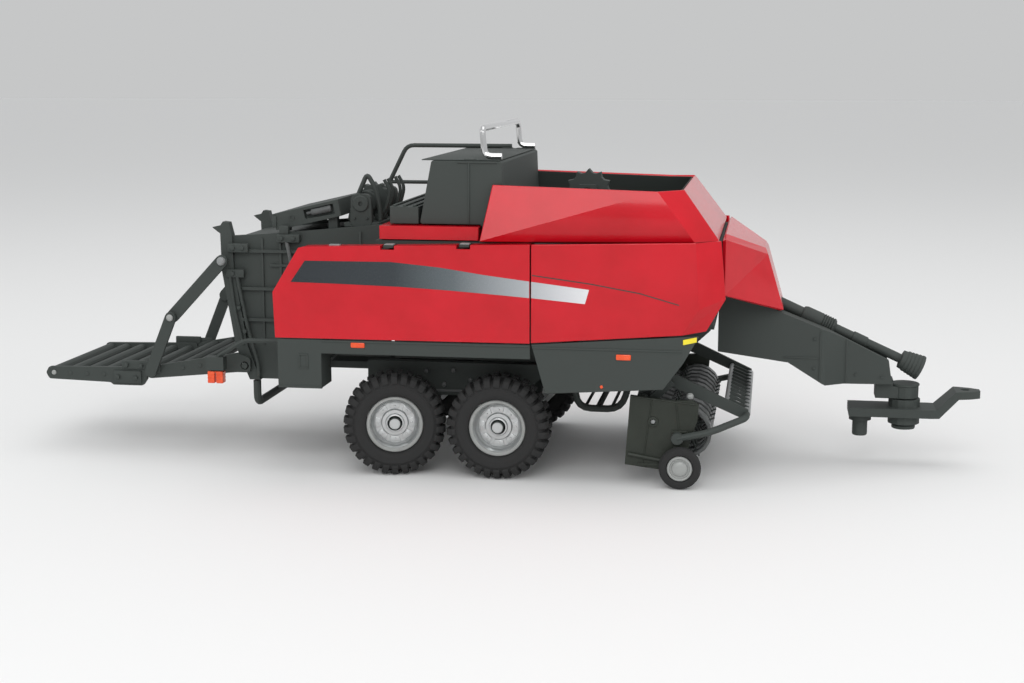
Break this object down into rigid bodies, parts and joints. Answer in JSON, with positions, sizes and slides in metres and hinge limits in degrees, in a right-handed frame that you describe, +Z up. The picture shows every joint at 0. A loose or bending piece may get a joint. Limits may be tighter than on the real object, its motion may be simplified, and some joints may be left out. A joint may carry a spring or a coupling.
{
  "type": "square baler scale model",
  "caption": "Scale model of a large square baler: bale chamber, folding chute, steered tandem wheels, pickup, drawbar and hitch.",
  "frame": {"origin": "on the ground under the middle of the model's bounding box", "axes": "+X towards the drawbar, +Y to the machine's left, +Z up"},
  "size_m": [0.2981, 0.092, 0.1063],
  "materials": {
    "red_paint": "glossy red paint",
    "charcoal": "satin dark grey-green plastic",
    "grey_metal": "satin grey paint",
    "silver": "satin silver",
    "chrome": "polished wire",
    "rubber": "glossy black rubber",
    "orange_lamp": "glossy orange plastic"
  },
  "bodies": {
    "frame": {"main_frame": "charcoal", "tandem_frame": "grey_metal", "front_axle": "grey_metal", "chamber_wall_right": "charcoal", "chamber_wall_left": "charcoal", "chamber_floor": "charcoal", "chamber_roof": "charcoal", "density_beam": "charcoal", "front_panel_right": "red_paint", "front_panel_left": "red_paint", "rear_skirt_right": "charcoal", "rear_skirt_left": "charcoal", "front_skirt_right": "charcoal", "front_skirt_left": "charcoal", "deck_sill": "red_paint", "service_cover": "charcoal", "knotter_cover": "charcoal", "front_housing": "red_paint", "hood": "red_paint", "grab_handle": "chrome", "platform_rail": "charcoal", "twine_loop": "charcoal", "knotter_bearings": "charcoal", "drawbar": "charcoal", "needle_guard": "charcoal", "rear_guard": "charcoal", "lamp_arm_right": "charcoal", "lamp_arm_left": "charcoal", "tail_lamps_right": "orange_lamp", "tail_lamps_left": "orange_lamp"},
    "rear_door_right": {"rear_door_right": "red_paint"},
    "rear_door_left": {"rear_door_left": "red_paint"},
    "drive_disc": {"drive_disc": "grey_metal"},
    "knotter_rotor": {"knotter_rotor": "grey_metal"},
    "pto_shaft": {"pto_shaft": "charcoal"},
    "hitch_plate": {"hitch_plate": "grey_metal"},
    "wheel_front_right": {"tyre_front_right": "rubber", "rim_front_right": "silver"},
    "wheel_front_left": {"tyre_front_left": "rubber", "rim_front_left": "silver"},
    "knuckle_right": {"rear_knuckle_right": "charcoal"},
    "knuckle_left": {"rear_knuckle_left": "charcoal"},
    "tie_rod": {"tie_rod": "charcoal"},
    "wheel_rear_right": {"tyre_rear_right": "rubber", "rim_rear_right": "silver"},
    "wheel_rear_left": {"tyre_rear_left": "rubber", "rim_rear_left": "silver"},
    "pickup": {"pickup_body": "charcoal", "pickup_shield_right": "charcoal", "pickup_shield_left": "charcoal", "wind_guard": "grey_metal"},
    "pickup_reel": {"pickup_reel": "grey_metal"},
    "gauge_wheel_right": {"gauge_wheel_right": "rubber"},
    "gauge_wheel_left": {"gauge_wheel_left": "rubber"},
    "chute": {"chute_front": "charcoal", "chute_rear": "charcoal"},
    "stay_upper_right": {"stay_upper_right": "charcoal"},
    "stay_upper_left": {"stay_upper_left": "charcoal"},
    "stay_lower_right": {"stay_lower_right": "charcoal"},
    "stay_lower_left": {"stay_lower_left": "charcoal"}
  },
  "joints": [
    {"name": "rear_door_right_hinge", "type": "hinge", "parent": "frame", "child": "rear_door_right", "pos_m": [0, -0.045, 0.0708], "axis": [-0.9997, 0, -0.0245], "range_deg": [0, 75]},
    {"name": "rear_door_left_hinge", "type": "hinge", "parent": "frame", "child": "rear_door_left", "pos_m": [0, 0.045, 0.0708], "axis": [0.9997, 0, 0.0245], "range_deg": [0, 75]},
    {"name": "front_wheel_right_spin", "type": "hinge", "parent": "frame", "child": "wheel_front_right", "pos_m": [0.0032, -0.0363, 0.0157], "axis": [0, 1, 0], "continuous": true},
    {"name": "front_wheel_left_spin", "type": "hinge", "parent": "frame", "child": "wheel_front_left", "pos_m": [0.0032, 0.0363, 0.0157], "axis": [0, 1, 0], "continuous": true},
    {"name": "steer_right", "type": "hinge", "parent": "frame", "child": "knuckle_right", "pos_m": [-0.0318, -0.0256, 0.0157], "axis": [0, 0, 1], "range_deg": [-24, 0]},
    {"name": "steer_left", "type": "hinge", "parent": "frame", "child": "knuckle_left", "pos_m": [-0.0318, 0.0256, 0.0157], "axis": [0, 0, 1], "range_deg": [-24, 0]},
    {"name": "tie_rod_pivot", "type": "hinge", "parent": "knuckle_right", "child": "tie_rod", "pos_m": [-0.03865, -0.02705, 0.015], "axis": [0, 0, 1], "range_deg": [0, 24]},
    {"name": "rear_wheel_right_spin", "type": "hinge", "parent": "knuckle_right", "child": "wheel_rear_right", "pos_m": [-0.02958, -0.03607, 0.0157], "axis": [-0.2079, 0.9781, 0], "continuous": true},
    {"name": "rear_wheel_left_spin", "type": "hinge", "parent": "knuckle_left", "child": "wheel_rear_left", "pos_m": [-0.03402, 0.03607, 0.0157], "axis": [-0.2079, 0.9781, 0], "continuous": true},
    {"name": "hitch_swivel", "type": "hinge", "parent": "frame", "child": "hitch_plate", "pos_m": [0.1262, 0, 0.017], "axis": [0, 0, 1], "range_deg": [-30, 30]},
    {"name": "pto_spin", "type": "hinge", "parent": "frame", "child": "pto_shaft", "pos_m": [0.0888, 0, 0.0494], "axis": [0.9118, 0, -0.4105], "continuous": true},
    {"name": "knotter_spin", "type": "hinge", "parent": "frame", "child": "knotter_rotor", "pos_m": [-0.0439, 0, 0.0812], "axis": [0, 1, 0], "continuous": true},
    {"name": "drive_disc_spin", "type": "hinge", "parent": "frame", "child": "drive_disc", "pos_m": [0.026, 0, 0.0842], "axis": [0, 1, 0], "continuous": true},
    {"name": "pickup_lift", "type": "hinge", "parent": "frame", "child": "pickup", "pos_m": [0.0465, 0, 0.0246], "axis": [0, -1, 0], "range_deg": [0, 18]},
    {"name": "reel_spin", "type": "hinge", "parent": "pickup", "child": "pickup_reel", "pos_m": [0.06, 0, 0.0155], "axis": [0, 1, 0], "continuous": true},
    {"name": "gauge_wheel_right_spin", "type": "hinge", "parent": "pickup", "child": "gauge_wheel_right", "pos_m": [0.0586, -0.044, 0.0063], "axis": [0, 1, 0], "continuous": true},
    {"name": "gauge_wheel_left_spin", "type": "hinge", "parent": "pickup", "child": "gauge_wheel_left", "pos_m": [0.0586, 0.044, 0.0063], "axis": [0, 1, 0], "continuous": true},
    {"name": "chute_fold", "type": "hinge", "parent": "frame", "child": "chute", "pos_m": [-0.0815, 0, 0.0294], "axis": [0, 1, 0], "range_deg": [0, 60]},
    {"name": "stay_upper_right_pivot", "type": "hinge", "parent": "frame", "child": "stay_upper_right", "pos_m": [-0.0877, 0, 0.063], "axis": [0, 1, 0], "range_deg": [0, 73.2]},
    {"name": "stay_lower_right_pivot", "type": "hinge", "parent": "stay_upper_right", "child": "stay_lower_right", "pos_m": [-0.1047, 0, 0.0448], "axis": [0, 1, 0], "range_deg": [-129, 0]},
    {"name": "stay_upper_left_pivot", "type": "hinge", "parent": "frame", "child": "stay_upper_left", "pos_m": [-0.0877, 0, 0.063], "axis": [0, 1, 0], "range_deg": [0, 73.2]},
    {"name": "stay_lower_left_pivot", "type": "hinge", "parent": "stay_upper_left", "child": "stay_lower_left", "pos_m": [-0.1047, 0, 0.0448], "axis": [0, 1, 0], "range_deg": [-129, 0]}
  ],
  "couplings": [
    {"joint": "steer_left", "follows": "steer_right", "ratio": 1},
    {"joint": "tie_rod_pivot", "follows": "steer_right", "ratio": -1},
    {"joint": "stay_upper_right_pivot", "follows": "chute_fold", "ratio": 1.22},
    {"joint": "stay_lower_right_pivot", "follows": "chute_fold", "ratio": -2.15},
    {"joint": "stay_upper_left_pivot", "follows": "chute_fold", "ratio": 1.22},
    {"joint": "stay_lower_left_pivot", "follows": "chute_fold", "ratio": -2.15}
  ]
}
